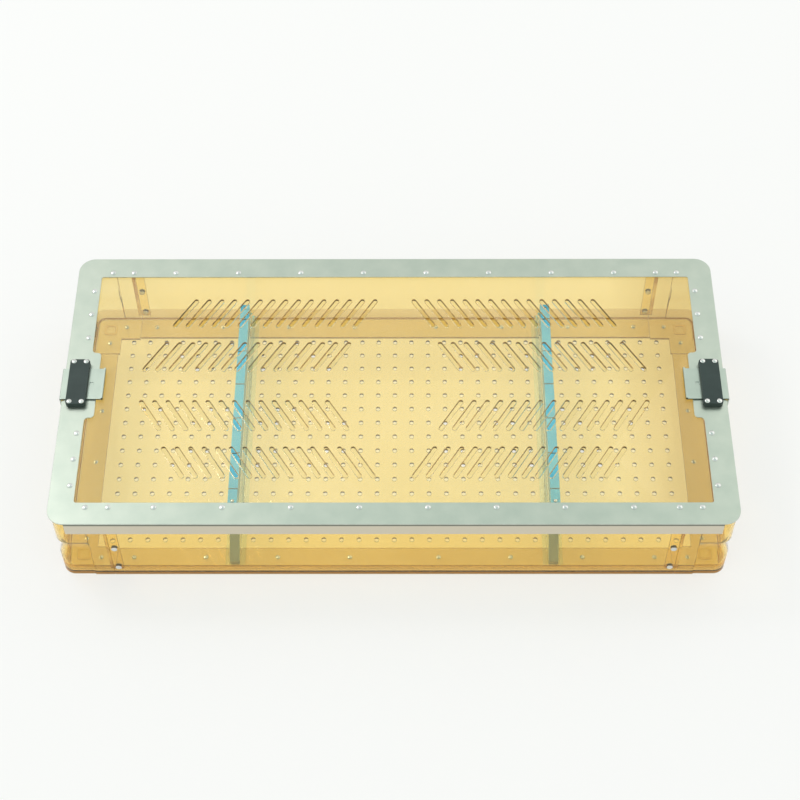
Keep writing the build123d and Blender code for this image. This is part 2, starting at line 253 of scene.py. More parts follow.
def softenedCopy(name, node, width, gap, material):
    # the CAD node's own form with its edges rounded over, set in all round by the gap
    work = bmesh.new()
    work.from_mesh(frame["nodes"][node].data)
    bmesh.ops.remove_doubles(work, verts=work.verts, dist=mergeDistance)
    bmesh.ops.dissolve_limit(work, angle_limit=math.radians(1), verts=work.verts, edges=work.edges)
    sharp = []
    for edge in work.edges:
        if len(edge.link_faces) == 2 and edge.calc_face_angle(0) > math.radians(25):
            sharp.append(edge)
    bmesh.ops.bevel(
        work, geom=sharp, offset=width * mm, segments=2, profile=0.5,
        affect="EDGES", clamp_overlap=True,
    )
    low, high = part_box(node)
    middle, size = (low + high) / 2, high - low
    for vert in work.verts:
        for axis in range(3):
            share = 1 - 2 * gap * mm / size[axis]
            vert.co[axis] = middle[axis] + (vert.co[axis] - middle[axis]) * share
    makePiece(name, work, material, node)


# Shared effects: node groups that put out masks and values

def newGroup(name, inputs, outputs):
    group = bpy.data.node_groups.new(name, "ShaderNodeTree")
    for socketName, kind, value in inputs:
        socket = group.interface.new_socket(name=socketName, in_out="INPUT", socket_type=kind)
        if value is not None:
            socket.default_value = value
    for socketName, kind in outputs:
        group.interface.new_socket(name=socketName, in_out="OUTPUT", socket_type=kind)
    return group, group.nodes.new("NodeGroupInput"), group.nodes.new("NodeGroupOutput")


def mapNode(nodes, low, high, toLow=0.0, toHigh=1.0):
    node = nodes.new("ShaderNodeMapRange")
    values = {"From Min": low, "From Max": high, "To Min": toLow, "To Max": toHigh}
    for name, value in values.items():
        node.inputs[name].default_value = value
    return node


def seenRays(nodes, links, amount):
    # the amount for rays by which the camera sees a surface, and the mark of glass rays
    path = nodes.new("ShaderNodeLightPath")
    total = path.outputs["Is Camera Ray"]
    for name in ("Is Glossy Ray", "Is Transmission Ray"):
        joined = mathNode(nodes, "ADD")
        links.new(total, joined.inputs[0])
        links.new(path.outputs[name], joined.inputs[1])
        total = joined.outputs[0]
    scaled = mathNode(nodes, "MULTIPLY", amount)
    links.new(total, scaled.inputs[0])
    return scaled.outputs[0], path.outputs["Is Transmission Ray"]


def mathNode(nodes, operation, second=None, clamp=True):
    node = nodes.new("ShaderNodeMath")
    node.operation = operation
    node.use_clamp = clamp
    if second is not None:
        node.inputs[1].default_value = second
    return node


def makeGrainGroup():
    group, inputs, outputs = newGroup(
        "surfaceGrain",
        [("Vector", "NodeSocketVector", None), ("Scale", "NodeSocketFloat", 900.0),
         ("Stretch", "NodeSocketVector", (1, 1, 1)), ("Detail", "NodeSocketFloat", 3.0)],
        [("Mask", "NodeSocketFloat")],
    )
    nodes, links = group.nodes, group.links
    stretch = nodes.new("ShaderNodeVectorMath")
    stretch.operation = "MULTIPLY"
    noise = nodes.new("ShaderNodeTexNoise")
    levels = mapNode(nodes, 0.3, 0.7)
    links.new(inputs.outputs["Vector"], stretch.inputs[0])
    links.new(inputs.outputs["Stretch"], stretch.inputs[1])
    links.new(stretch.outputs[0], noise.inputs["Vector"])
    links.new(inputs.outputs["Scale"], noise.inputs["Scale"])
    links.new(inputs.outputs["Detail"], noise.inputs["Detail"])
    links.new(noise.outputs["Fac"], levels.inputs["Value"])
    links.new(levels.outputs["Result"], outputs.inputs["Mask"])
    return group


def makeWearGroup():
    # rubbed edges, broken up by noise
    group, inputs, outputs = newGroup(
        "edgeWear",
        [("Vector", "NodeSocketVector", None), ("Radius", "NodeSocketFloat", 0.0006),
         ("Breakup", "NodeSocketFloat", 260.0)],
        [("Mask", "NodeSocketFloat")],
    )
    nodes, links = group.nodes, group.links
    bevel = nodes.new("ShaderNodeBevel")
    bevel.samples = 4
    geometry = nodes.new("ShaderNodeNewGeometry")
    dot = nodes.new("ShaderNodeVectorMath")
    dot.operation = "DOT_PRODUCT"
    turned = mapNode(nodes, 0.99, 0.80)
    noise = nodes.new("ShaderNodeTexNoise")
    broken = mapNode(nodes, 0.35, 0.6)
    product = mathNode(nodes, "MULTIPLY")
    links.new(inputs.outputs["Radius"], bevel.inputs["Radius"])
    links.new(bevel.outputs["Normal"], dot.inputs[0])
    links.new(geometry.outputs["Normal"], dot.inputs[1])
    links.new(dot.outputs["Value"], turned.inputs["Value"])
    links.new(inputs.outputs["Vector"], noise.inputs["Vector"])
    links.new(inputs.outputs["Breakup"], noise.inputs["Scale"])
    links.new(noise.outputs["Fac"], broken.inputs["Value"])
    links.new(turned.outputs["Result"], product.inputs[0])
    links.new(broken.outputs["Result"], product.inputs[1])
    links.new(product.outputs[0], outputs.inputs["Mask"])
    return group


def makeDustGroup():
    # sparse specks that lie on the surface
    group, inputs, outputs = newGroup(
        "looseDust",
        [("Vector", "NodeSocketVector", None), ("Scale", "NodeSocketFloat", 120.0),
         ("Speck", "NodeSocketFloat", 0.09)],
        [("Mask", "NodeSocketFloat")],
    )
    nodes, links = group.nodes, group.links
    cells = nodes.new("ShaderNodeTexVoronoi")
    patches = nodes.new("ShaderNodeTexNoise")
    patches.inputs["Scale"].default_value = 14.0
    thick = mapNode(nodes, 0.45, 0.62)
    near = mathNode(nodes, "LESS_THAN")
    product = mathNode(nodes, "MULTIPLY")
    links.new(inputs.outputs["Vector"], cells.inputs["Vector"])
    links.new(inputs.outputs["Scale"], cells.inputs["Scale"])
    links.new(inputs.outputs["Vector"], patches.inputs["Vector"])
    links.new(cells.outputs["Distance"], near.inputs[0])
    links.new(inputs.outputs["Speck"], near.inputs[1])
    links.new(patches.outputs["Fac"], thick.inputs["Value"])
    links.new(near.outputs[0], product.inputs[0])
    links.new(thick.outputs["Result"], product.inputs[1])
    links.new(product.outputs[0], outputs.inputs["Mask"])
    return group


def makeBandGroup():
    # upright faces between two heights of the piece, or all faces there; none met from inside
    group, inputs, outputs = newGroup(
        "heightBand",
        [("Vector", "NodeSocketVector", None), ("Low", "NodeSocketFloat", -1.0),
         ("High", "NodeSocketFloat", 1.0), ("Soft", "NodeSocketFloat", 0.0002),
         ("All Faces", "NodeSocketFloat", 0.0), ("Inside", "NodeSocketFloat", 0.0)],
        [("Mask", "NodeSocketFloat")],
    )
    nodes, links = group.nodes, group.links
    geometry = nodes.new("ShaderNodeNewGeometry")
    facing = nodes.new("ShaderNodeSeparateXYZ")
    level = mathNode(nodes, "ABSOLUTE")
    upright = mapNode(nodes, 0.7, 0.4)
    height = nodes.new("ShaderNodeSeparateXYZ")
    links.new(geometry.outputs["True Normal"], facing.inputs[0])
    links.new(facing.outputs["Z"], level.inputs[0])
    links.new(level.outputs[0], upright.inputs["Value"])
    links.new(inputs.outputs["Vector"], height.inputs[0])
    faces = mathNode(nodes, "MAXIMUM")
    links.new(upright.outputs["Result"], faces.inputs[0])
    links.new(inputs.outputs["All Faces"], faces.inputs[1])
    outside = mathNode(nodes, "SUBTRACT", clamp=False)
    outside.inputs[0].default_value = 1.0
    links.new(inputs.outputs["Inside"], outside.inputs[1])
    met = mathNode(nodes, "MULTIPLY")
    links.new(faces.outputs[0], met.inputs[0])
    links.new(outside.outputs[0], met.inputs[1])
    product = met.outputs[0]
    for above, limit in ((True, "Low"), (False, "High")):
        rise = mathNode(nodes, "SUBTRACT", clamp=False)
        first, second = height.outputs["Z"], inputs.outputs[limit]
        if not above:
            first, second = second, first
        links.new(first, rise.inputs[0])
        links.new(second, rise.inputs[1])
        share = mathNode(nodes, "DIVIDE")
        links.new(rise.outputs[0], share.inputs[0])
        links.new(inputs.outputs["Soft"], share.inputs[1])
        joined = mathNode(nodes, "MULTIPLY")
        links.new(product, joined.inputs[0])
        links.new(share.outputs[0], joined.inputs[1])
        product = joined.outputs[0]
    links.new(product, outputs.inputs["Mask"])
    return group


def makeEndGroup():
    # fades in along X towards one end of the piece; Side is -1 or 1
    group, inputs, outputs = newGroup(
        "endFade",
        [("Vector", "NodeSocketVector", None), ("Side", "NodeSocketFloat", 1.0),
         ("Start", "NodeSocketFloat", 0.0), ("Full", "NodeSocketFloat", 1.0)],
        [("Mask", "NodeSocketFloat")],
    )
    nodes, links = group.nodes, group.links
    parts = nodes.new("ShaderNodeSeparateXYZ")
    along = mathNode(nodes, "MULTIPLY", clamp=False)
    fade = nodes.new("ShaderNodeMapRange")
    links.new(inputs.outputs["Vector"], parts.inputs[0])
    links.new(parts.outputs["X"], along.inputs[0])
    links.new(inputs.outputs["Side"], along.inputs[1])
    links.new(along.outputs[0], fade.inputs["Value"])
    links.new(inputs.outputs["Start"], fade.inputs["From Min"])
    links.new(inputs.outputs["Full"], fade.inputs["From Max"])
    links.new(fade.outputs["Result"], outputs.inputs["Mask"])
    return group


def makeFrontGroup():
    # upright faces that look towards the front; Flip is 1 on a face met from inside
    group, inputs, outputs = newGroup(
        "frontFaces", [("Flip", "NodeSocketFloat", 0.0)], [("Mask", "NodeSocketFloat")],
    )
    nodes, links = group.nodes, group.links
    geometry = nodes.new("ShaderNodeNewGeometry")
    facing = nodes.new("ShaderNodeSeparateXYZ")
    sign = nodes.new("ShaderNodeMapRange")
    sign.inputs["To Min"].default_value = 1.0
    sign.inputs["To Max"].default_value = -1.0
    outward = mathNode(nodes, "MULTIPLY", clamp=False)
    front = mapNode(nodes, -0.15, -0.40)
    links.new(geometry.outputs["True Normal"], facing.inputs[0])
    links.new(inputs.outputs["Flip"], sign.inputs["Value"])
    links.new(facing.outputs["Y"], outward.inputs[0])
    links.new(sign.outputs["Result"], outward.inputs[1])
    links.new(outward.outputs[0], front.inputs["Value"])
    links.new(front.outputs["Result"], outputs.inputs["Mask"])
    return group


grainGroup = makeGrainGroup()
wearGroup = makeWearGroup()
dustGroup = makeDustGroup()
bandGroup = makeBandGroup()
endGroup = makeEndGroup()
frontGroup = makeFrontGroup()
print("shared effects made")


# Materials

class Finish:
    # one material with its shader and the helpers that wire effects into it
    def __init__(self, name, values):
        self.material = bpy.data.materials.new(name)
        self.material.use_nodes = True
        self.nodes = self.material.node_tree.nodes
        self.links = self.material.node_tree.links
        self.shader = self.nodes["Principled BSDF"]
        self.place = self.nodes.new("ShaderNodeTexCoord").outputs["Object"]
        for socketName, value in values.items():
            self.shader.inputs[socketName].default_value = value

    def effect(self, group, values, metInside=None):
        node = self.nodes.new("ShaderNodeGroup")
        node.node_tree = group
        for socketName, value in values.items():
            node.inputs[socketName].default_value = value
        if "Vector" in node.inputs:
            self.links.new(self.place, node.inputs["Vector"])
        if metInside:
            geometry = self.nodes.new("ShaderNodeNewGeometry")
            self.links.new(geometry.outputs["Backfacing"], node.inputs[metInside])
        return node.outputs["Mask"]

    def blend(self, mask, first, second, amount=1.0):
        # first and second are colours or the outputs of earlier blends
        mixer = self.nodes.new("ShaderNodeMix")
        mixer.data_type = "RGBA"
        scaled = mathNode(self.nodes, "MULTIPLY", amount)
        self.links.new(mask, scaled.inputs[0])
        self.links.new(scaled.outputs[0], mixer.inputs["Factor"])
        for socket, value in ((mixer.inputs[6], first), (mixer.inputs[7], second)):
            if isinstance(value, tuple):
                socket.default_value = (*value, 1.0)
            else:
                self.links.new(value, socket)
        return mixer.outputs[2]

    def bands(self, shade, look):
        # zones of height and ends along X, each with a tint laid over the base colour; the looks
        # use most of them for painted shade
        for low, high, soft, everywhere, tint, amount in look.get("bands", ()):
            values = {
                "Low": low * mm, "High": high * mm, "Soft": soft * mm, "All Faces": everywhere,
            }
            shade = self.blend(self.effect(bandGroup, values, "Inside"), shade, tint, amount)
        for side, start, full, tint in look.get("ends", ()):
            values = {"Side": side, "Start": start * mm, "Full": full * mm}
            shade = self.blend(self.effect(endGroup, values), shade, tint)
        return shade

    def frontFaces(self, shade, tint, amount):
        # painted shade on upright and sloping faces towards the front, such as the far walls of
        # slots
        return self.blend(self.effect(frontGroup, {}, "Flip"), shade, tint, amount)

    def colour(self, output):
        self.links.new(output, self.shader.inputs["Base Color"])

    def roughness(self, mask, low, high):
        levels = mapNode(self.nodes, 0.0, 1.0, low, high)
        self.links.new(mask, levels.inputs["Value"])
        self.links.new(levels.outputs["Result"], self.shader.inputs["Roughness"])

    def scuff(self, look):
        # less clear at the foot, where the tray is worn
        heights = {"Low": -5 * mm, "High": look["scuffTop"] * mm, "Soft": 0.5 * mm}
        band = self.effect(bandGroup, heights, "Inside")
        levels = mapNode(self.nodes, 0.0, 1.0, look["through"], look["scuffed"])
        self.links.new(band, levels.inputs["Value"])
        self.links.new(levels.outputs["Result"], self.shader.inputs["Transmission Weight"])

    def bump(self, mask, height):
        bump = self.nodes.new("ShaderNodeBump")
        bump.inputs["Distance"].default_value = height * mm
        self.links.new(mask, bump.inputs["Height"])
        self.links.new(bump.outputs["Normal"], self.shader.inputs["Normal"])

    def absorb(self, colour, density):
        volume = self.nodes.new("ShaderNodeVolumeAbsorption")
        volume.inputs["Color"].default_value = (*colour, 1.0)
        volume.inputs["Density"].default_value = density
        self.links.new(volume.outputs["Volume"], self.nodes["Material Output"].inputs["Volume"])

    def letLampsThrough(self, tint):
        # rays from lamps pass as through a thin tinted sheet, so that the inside is lit
        clear = self.nodes.new("ShaderNodeBsdfTransparent")
        clear.inputs["Color"].default_value = (*tint, 1.0)
        path = self.nodes.new("ShaderNodeLightPath")
        mixer = self.nodes.new("ShaderNodeMixShader")
        self.links.new(path.outputs["Is Shadow Ray"], mixer.inputs["Fac"])
        self.links.new(self.shader.outputs["BSDF"], mixer.inputs[1])
        self.links.new(clear.outputs["BSDF"], mixer.inputs[2])
        self.links.new(mixer.outputs["Shader"], self.nodes["Material Output"].inputs["Surface"])


amberShared = {
    "ior": 1.36, "cloud": 9.0, "waves": 14.0, "waveHeight": 0.02,
    "rimRadius": 0.8, "rimBreakup": 30.0,
    "dust": (0.90, 0.88, 0.84), "dustAmount": 0.3, "paintedFarWallShadeAmount": 0.9,
}

amberLooks = {
    "amberWall": {
        "clear": (1.0, 0.92, 0.62), "deep": (0.99, 0.90, 0.58), "through": 0.97,
        "rough": (0.01, 0.04), "tint": (0.96, 0.80, 0.28), "density": 110,
        "lampTint": (0.99, 0.93, 0.70),
        "edge": (0.38, 0.17, 0.04), "edgeAmount": 0.8, "scuffTop": 5.2, "scuffed": 0.2,
        # painted shade at the foot: all faces of the flange a little darker, upright faces below
        # the crease darker, and a dark brown band low down
        "bands": (
            (-5.0, 3.2, 0.5, 1.0, (0.65, 0.58, 0.36), 1.0),
            (-5.0, 16.6, 0.6, 0.0, (0.67, 0.52, 0.28), 1.0),
            (1.4, 5.2, 0.8, 0.0, (0.46, 0.20, 0.02), 1.0),
        ),
    },
    "amberFloor": {
        "clear": (1.0, 0.92, 0.65), "deep": (0.99, 0.90, 0.60), "through": 0.98,
        "rough": (0.02, 0.05), "tint": (0.97, 0.80, 0.25), "density": 45,
        "lampTint": (0.995, 0.97, 0.87),
        "edge": (0.60, 0.38, 0.14), "edgeAmount": 0.2, "paintedFarWallShade": (0.36, 0.22, 0.06),
    },
    "amberPanel": {
        "clear": (1.0, 0.97, 0.85), "deep": (0.99, 0.96, 0.82), "through": 0.945,
        "rough": (0.0, 0.012), "tint": (0.97, 0.82, 0.30), "density": 30,
        "lampTint": (0.995, 0.98, 0.92),
        "edge": (0.60, 0.38, 0.14), "edgeAmount": 0.2, "paintedFarWallShade": (0.24, 0.10, 0.02),
        # painted shade: the panel turns darker towards its left and right ends, most on the right
        "ends": ((-1.0, 200.0, 250.0, (0.93, 0.91, 0.79)), (1.0, 200.0, 252.0, (0.84, 0.78, 0.62))),
    },
}


def makeAmber(name):
    look = amberLooks[name]
    shared = amberShared
    finish = Finish(name, {"IOR": shared["ior"], "Transmission Weight": look["through"]})
    cloud = finish.effect(grainGroup, {"Scale": shared["cloud"], "Detail": 2.0})
    waves = finish.effect(grainGroup, {"Scale": shared["waves"], "Detail": 0.0})
    dust = finish.effect(dustGroup, {"Scale": 160.0, "Speck": 0.07})
    rim = finish.effect(wearGroup, {
        "Radius": shared["rimRadius"] * mm, "Breakup": shared["rimBreakup"],
    })
    shade = finish.blend(cloud, look["clear"], look["deep"])
    shade = finish.bands(finish.blend(rim, shade, look["edge"], look["edgeAmount"]), look)
    # painted shade: walls of holes and slots that face the front are darkened to brown
    if "paintedFarWallShade" in look:
        shade = finish.frontFaces(shade, look["paintedFarWallShade"], shared["paintedFarWallShadeAmount"])
    finish.colour(finish.blend(dust, shade, shared["dust"], shared["dustAmount"]))
    finish.roughness(cloud, *look["rough"])
    finish.bump(waves, shared["waveHeight"])
    if "scuffed" in look:
        finish.scuff(look)
    finish.absorb(look["tint"], look["density"])
    finish.letLampsThrough(look["lampTint"])
    return finish.material


metalShared = {"wearRadius": 0.5, "wearAmount": 0.8, "mottle": 60.0}

metalLooks = {
    "satinAluminium": {
        "light": (0.55, 0.60, 0.52), "dark": (0.49, 0.55, 0.475), "worn": (0.80, 0.83, 0.80),
        "rough": (0.30, 0.38), "stretch": (0.12, 1, 1), "lines": 1500.0, "lift": 0.008,
        # the skirts' upright faces take a warmer tone; the dark band at their top, under the
        # sheet's edge, is painted shade
        "bands": (
            (70.0, 86.6, 0.3, 0.0, (0.68, 0.62, 0.50), 0.9),
            (84.2, 87.0, 0.3, 0.0, (0.13, 0.15, 0.12), 0.9),
        ),
    },
    "latchSteel": {
        "light": (0.50, 0.57, 0.50), "dark": (0.45, 0.52, 0.455), "worn": (0.80, 0.84, 0.80),
        "rough": (0.28, 0.38), "stretch": (1, 0.1, 1), "lines": 1800.0, "lift": 0.008,
        # painted shade: the plate's upright faces above the lid are near black, standing in for the
        # shadowed gap and edges under it
        "bands": ((87.5, 95.0, 0.2, 0.0, (0.10, 0.12, 0.11), 0.9),),
    },
    "rivetSteel": {
        "light": (0.76, 0.77, 0.75), "dark": (0.60, 0.62, 0.59), "worn": (0.88, 0.88, 0.87),
        "rough": (0.14, 0.26), "stretch": (1, 1, 1), "lines": 700.0, "lift": 0.015,
    },
}


def makeMetal(name):
    look = metalLooks[name]
    finish = Finish(name, {"Metallic": 1.0})
    lines = finish.effect(grainGroup, {
        "Scale": look["lines"], "Stretch": look["stretch"], "Detail": 2.0,
    })
    mottle = finish.effect(grainGroup, {"Scale": metalShared["mottle"], "Detail": 4.0})
    wear = finish.effect(wearGroup, {"Radius": metalShared["wearRadius"] * mm})
    shade = finish.blend(mottle, look["light"], look["dark"])
    shade = finish.blend(wear, shade, look["worn"], metalShared["wearAmount"])
    finish.colour(finish.bands(shade, look))
    finish.roughness(lines, *look["rough"])
    finish.bump(lines, look["lift"])
    return finish.material


coverLook = {
    "face": (0.013, 0.030, 0.026), "grey": (0.022, 0.042, 0.037), "worn": (0.09, 0.10, 0.097),
    "ior": 1.5, "wearRadius": 0.7, "wearAmount": 0.7, "rough": (0.42, 0.58), "lift": 0.03,
}


def makeCoverPlastic():
    look = coverLook
    finish = Finish("blackCover", {"IOR": look["ior"]})
    grain = finish.effect(grainGroup, {"Scale": 1300.0, "Detail": 2.0})
    cloud = finish.effect(grainGroup, {"Scale": 70.0, "Detail": 3.0})
    wear = finish.effect(wearGroup, {"Radius": look["wearRadius"] * mm})
    shade = finish.blend(cloud, look["face"], look["grey"])
    finish.colour(finish.blend(wear, shade, look["worn"], look["wearAmount"]))
    finish.roughness(grain, *look["rough"])
    finish.bump(grain, look["lift"])
    return finish.material


siliconeLook = {
    "bright": (0.17, 0.70, 1.0), "deep": (0.13, 0.64, 1.0), "through": 0.12,
    # painted shade: the strip's upright sides are a greyer teal and its ends that face the front
    # are grey
    "bands": ((-5.0, 200.0, 0.5, 0.0, (0.36, 0.63, 0.69), 0.85),),
    "end": (0.36, 0.40, 0.36), "endAmount": 0.85, "dust": (0.55, 0.70, 0.78), "dustAmount": 0.4,
    "ior": 1.42, "coat": 0.1, "rough": (0.30, 0.45), "lift": 0.008, "lampTint": (0.10, 0.45, 0.62),
}


def makeSilicone():
    look = siliconeLook
    finish = Finish("blueSilicone", {
        "IOR": look["ior"], "Transmission Weight": look["through"], "Coat Weight": look["coat"],
    })
    cloud = finish.effect(grainGroup, {"Scale": 45.0, "Detail": 3.0})
    pores = finish.effect(grainGroup, {"Scale": 900.0, "Detail": 1.0})
    dust = finish.effect(dustGroup, {"Scale": 260.0, "Speck": 0.10})
    shade = finish.bands(finish.blend(cloud, look["bright"], look["deep"]), look)
    # painted shade on the strip's ends that face the front
    shade = finish.frontFaces(shade, look["end"], look["endAmount"])
    finish.colour(finish.blend(dust, shade, look["dust"], look["dustAmount"]))
    finish.roughness(cloud, *look["rough"])
    finish.bump(pores, look["lift"])
    finish.letLampsThrough(look["lampTint"])
    return finish.material


channelLook = {
    "clear": (0.87, 0.96, 0.95), "hazy": (0.85, 0.945, 0.935), "through": 0.96, "ior": 1.06,
    "rough": (0.0, 0.02), "lampTint": (0.98, 0.99, 0.98),
}


def makeClear():
    look = channelLook
    finish = Finish("clearChannel", {"IOR": look["ior"], "Transmission Weight": look["through"]})
    cloud = finish.effect(grainGroup, {"Scale": 10.0, "Detail": 1.0})
    finish.colour(finish.blend(cloud, look["clear"], look["hazy"]))
    finish.roughness(cloud, *look["rough"])
    finish.letLampsThrough(look["lampTint"])
    return finish.material


amberWall = makeAmber("amberWall")
amberFloor = makeAmber("amberFloor")
amberPanel = makeAmber("amberPanel")
aluminium = makeMetal("satinAluminium")
latchSteel = makeMetal("latchSteel")
rivetSteel = makeMetal("rivetSteel")
coverPlastic = makeCoverPlastic()
silicone = makeSilicone()
clearPlastic = makeClear()
print("materials made")


def sizeOf(node):
    # lowest and highest corner of a CAD node, in millimetres
    low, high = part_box(node)
    return low / mm, high / mm


# Tray floor: a sheet with a square grid of round holes and four pressed squares

floorSizes = {
    "pitch": 16.0, "columns": 33, "rows": 15, "holeRadius": 2.1, "holeSteps": 14,
    "cornerRadius": 5.8, "edge": 0.25, "thickness": 2.5, "lift": 0.06,
    "bossSize": 12.5, "bossRim": 2.2, "bossHeight": 0.8, "bossSeat": 0.01,
    "bossRadius": 3.0, "bossInnerRadius": 1.8, "bossFromSide": 18.2, "bossFromFront": 20.2,
}


def makeFloor():
    sizes = floorSizes
    low, high = sizeOf("floor_plate")
    top = low.z + sizes["thickness"]
    pitch = sizes["pitch"]
    holes = []
    for column in range(sizes["columns"]):
        for row in range(sizes["rows"]):
            x = (column - (sizes["columns"] - 1) / 2) * pitch
            y = (row - (sizes["rows"] - 1) / 2) * pitch
            holes.append(circleOutline(x, y, sizes["holeRadius"], sizes["holeSteps"]))
    work = bmesh.new()
    outer = rectangleOutline(high.x, high.y, sizes["cornerRadius"])
    addSheet(work, outer, holes, low.z + sizes["lift"], top, sizes["edge"])
    half = sizes["bossSize"] / 2
    inner = half - sizes["bossRim"]
    trayX, trayY = sizeOf("right_wall")[1].x, sizeOf("back_wall")[1].y
    for sideX in (-1, 1):
        for sideY in (-1, 1):
            x, y = trayX - sizes["bossFromSide"], trayY - sizes["bossFromFront"]
            middle = (sideX * x, sideY * y)
            addSheet(
                work, rectangleOutline(half, half, sizes["bossRadius"], middle),
                [rectangleOutline(inner, inner, sizes["bossInnerRadius"], middle)],
                top + sizes["bossSeat"], top + sizes["bossHeight"], sizes["edge"],
            )
    makePiece("floorSheet", work, amberFloor, "floor_plate")


makeFloor()
print("floor sheet made")


# Tray walls: one moulded section that turns in to a floor flange

traySizes = {
    "wall": 2.5, "bendDepth": 6.0, "bendHeight": 15.3, "bendStart": 24.0, "bendSteps": 9,
    "footEdge": 1.1, "flange": 27.5, "jointGap": 0.35, "panelThickness": 2.5,
    "cornerFlange": 29.1, "leg": 47.5, "cornerRadius": 12.0, "cornerSteps": 12, "step": 0.7,
    "troughLeg": 29.9, "troughRun": 0.5, "troughDepth": 3.2,
    "troughHeights": (53.0, 47.0, 37.0, 27.0),
    "tongueLength": 9.0, "tongueRoot": 3.0, "tongueThickness": 2.0, "tongueBottom": 8.5,
    "tongueGap": 0.5, "tongueSeat": 0.02, "tongueRadius": 0.4, "tongueEdge": 0.3,
}


def footBend(startDepth, startHeight, endDepth, endHeight, startAngle=0.0):
    # a quarter of an ellipse; a start angle makes it begin with a crease
    first, steps = math.radians(startAngle), traySizes["bendSteps"]
    points = []
    for step in range(1, steps + 1):
        turn = first + (math.pi / 2 - first) * step / steps
        across = (math.cos(first) - math.cos(turn)) / math.cos(first)
        down = (math.sin(turn) - math.sin(first)) / (1 - math.sin(first))
        points.append((
            startDepth + (endDepth - startDepth) * across,
            startHeight + (endHeight - startHeight) * down,
        ))
    return points


def wallSection(flange, troughDepth, faceDepth=0.0):
    # points of inward distance and height; the face starts at faceDepth
    wall, depth, height = traySizes["wall"], traySizes["bendDepth"], traySizes["bendHeight"]
    top, edge = sizeOf("front_wall")[1].z, traySizes["footEdge"]
    high, upper, lower, low = traySizes["troughHeights"]
    dips = [(0, top), (0, high), (troughDepth, upper), (troughDepth, lower), (0, low)]
    outer = [(faceDepth + dip, level) for dip, level in dips + [(0, edge)]]
    outer += footBend(faceDepth, edge, faceDepth + edge, 0)
    inner = [(wall + faceDepth + dip, level) for dip, level in dips + [(0, height)]]
    inner += footBend(wall + faceDepth, height, depth, wall, traySizes["bendStart"])
    return outer + [(flange, 0), (flange, wall)] + inner[::-1]


def makeWall(name, node):
    low, high = sizeOf(node)
    section = wallSection(traySizes["flange"], 0)
    gap = traySizes["jointGap"]
    rings = []
    if high.x - low.x > high.y - low.y:
        side = -1 if low.y < 0 else 1
        face = low.y if side < 0 else high.y
        for x in (low.x + gap, high.x - gap):
            rings.append([(x, face - side * depth, height) for depth, height in section])
    else:
        side = -1 if low.x < 0 else 1
        face = low.x if side < 0 else high.x
        for y in (low.y + gap, high.y - gap):
            rings.append([(face - side * depth, y, height) for depth, height in section])
    work = bmesh.new()
    addLoft(work, rings)
    makePiece(name, work, amberWall, node, creaseHeight=traySizes["bendHeight"])


def makeCorner(name, node):
    low, high = sizeOf(node)
    sideX = -1 if low.x < 0 else 1
    sideY = -1 if low.y < 0 else 1
    outX, outY = max(abs(low.x), abs(high.x)), max(abs(low.y), abs(high.y))
    radius, leg, troughLeg = traySizes["cornerRadius"], traySizes["leg"], traySizes["troughLeg"]
    reach = traySizes["cornerFlange"]
    plain = wallSection(reach, 0)
    trough = wallSection(reach, traySizes["troughDepth"], traySizes["step"])
    straight = ((leg, plain), (troughLeg + traySizes["troughRun"], plain), (troughLeg, trough))
    route = []  # place on the outer face line, inward direction and section
    for back, section in straight:
        route.append(((outX - back, outY), (0, -1), section))
    for step in range(traySizes["cornerSteps"] + 1):
        turn = math.pi / 2 * step / traySizes["cornerSteps"]
        place = (outX - radius + radius * math.sin(turn), outY - radius + radius * math.cos(turn))
        route.append((place, (-math.sin(turn), -math.cos(turn)), trough))
    for back, section in straight[::-1]:
        route.append(((outX, outY - back), (-1, 0), section))
    rings = []
    for place, inward, section in route:
        ring = []
        for depth, height in section:
            x, y = place[0] + inward[0] * depth, place[1] + inward[1] * depth
            if depth == reach:  # the flange's inner edge is an L
                x, y = min(place[0], outX - reach), min(place[1], outY - reach)
            ring.append((sideX * x, sideY * y, height))
        rings.append(ring)
    work = bmesh.new()
    addLoft(work, rings)
    wall, thick, seat = traySizes["wall"], traySizes["tongueThickness"], traySizes["tongueSeat"]
    bottom = traySizes["tongueBottom"]
    top = high.z - traySizes["panelThickness"] - traySizes["tongueGap"]
    past, rooted = leg + traySizes["tongueLength"], leg - traySizes["tongueRoot"]
    spans = (
        ((outX - past, outX - rooted), (outY - wall - thick, outY - wall - seat)),
        ((outX - wall - thick, outX - wall - seat), (outY - past, outY - rooted)),
    )
    for (x0, x1), (y0, y1) in spans:
        middle = (sideX * (x0 + x1) / 2, sideY * (y0 + y1) / 2)
        halves = ((x1 - x0) / 2, (y1 - y0) / 2)
        outline = rectangleOutline(*halves, traySizes["tongueRadius"], middle, 2)
        addSheet(work, outline, [], bottom, top, traySizes["tongueEdge"])
    makePiece(name, work, amberWall, node, creaseHeight=traySizes["bendHeight"])


for place in ("front", "back", "left", "right"):
    makeWall(place + "Wall", place + "_wall")
for place in ("front_left", "front_right", "back_left", "back_right"):
    depthWord, sideWord = place.split("_")
    makeCorner("corner" + depthWord.title() + sideWord.title(), "corner_" + place)
print("tray walls and corners made")


# Lid frame: a sheet with soft-cornered opening and skirts that are bent down

lidSizes = {
    "sheet": 1.2, "band": 22.3, "cornerRadius": 15.0, "openingRadius": 2.0, "edge": 0.25,
    "tabReach": 8.4, "tabHalf": 36.5, "tabRadius": 3.5,
    "notchHalf": 17.6, "notchDepth": 2.1, "notchRadius": 0.5,
    "setBack": 0.6, "bend": 0.9, "bendSteps": 5, "skirtEdge": 0.3, "skirtSeat": 0.01,
}


